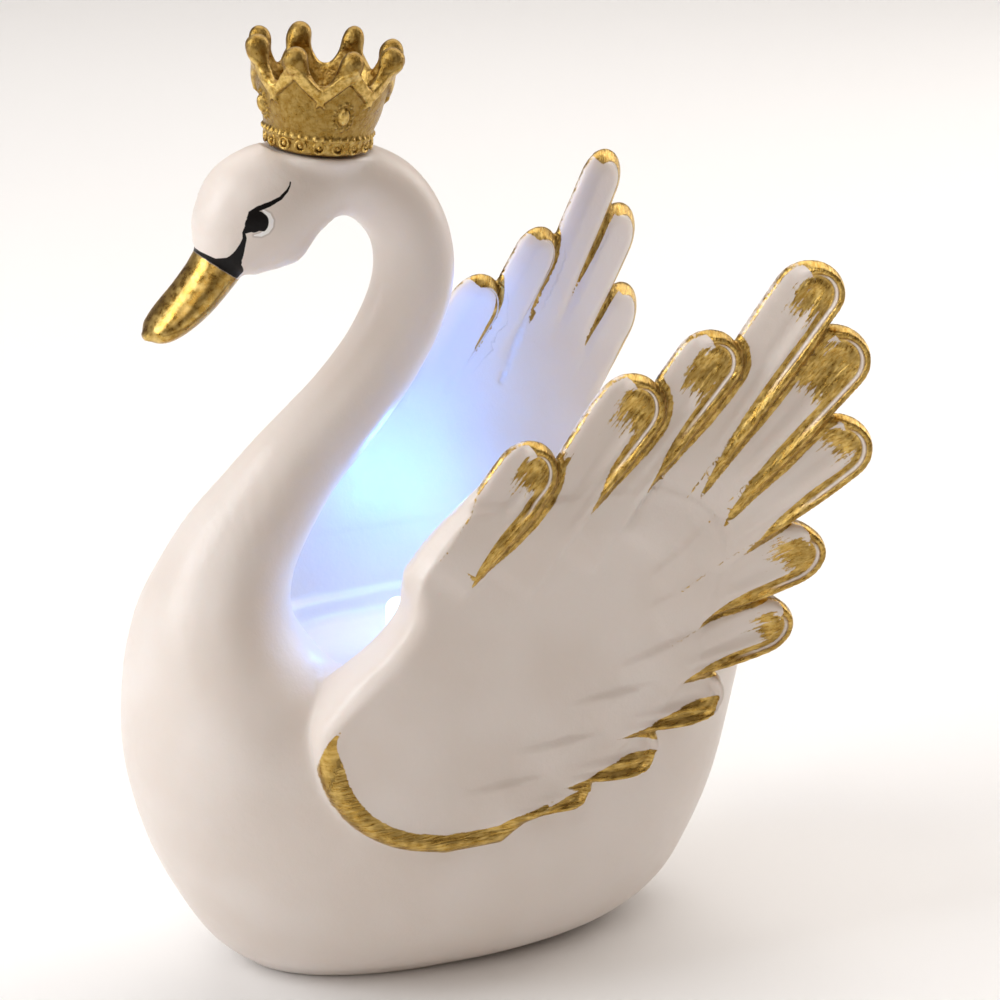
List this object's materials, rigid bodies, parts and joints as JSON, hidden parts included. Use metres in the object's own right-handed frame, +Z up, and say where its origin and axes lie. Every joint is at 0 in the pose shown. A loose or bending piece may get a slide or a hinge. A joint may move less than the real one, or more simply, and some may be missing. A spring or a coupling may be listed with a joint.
{
  "type": "swan figurine",
  "caption": "Crowned swan figurine with a curved neck, raised wings of overlapping feathers and a lit nest between them.",
  "frame": {"origin": "centre of the flat underside", "axes": "+Z up, the swan faces -Y and its left side is +X"},
  "size_m": [0.0642, 0.0805, 0.1127],
  "materials": {
    "swan": "painted cast resin, satin pearl white, with gold edges, a gold bill and a black face mark",
    "crown": "antique gold paint on a small casting",
    "led_lamp": "clear moulded lens, lit"
  },
  "bodies": {
    "root": {"swan": "swan", "crown": "crown", "led_lamp": "led_lamp"}
  },
  "joints": []
}
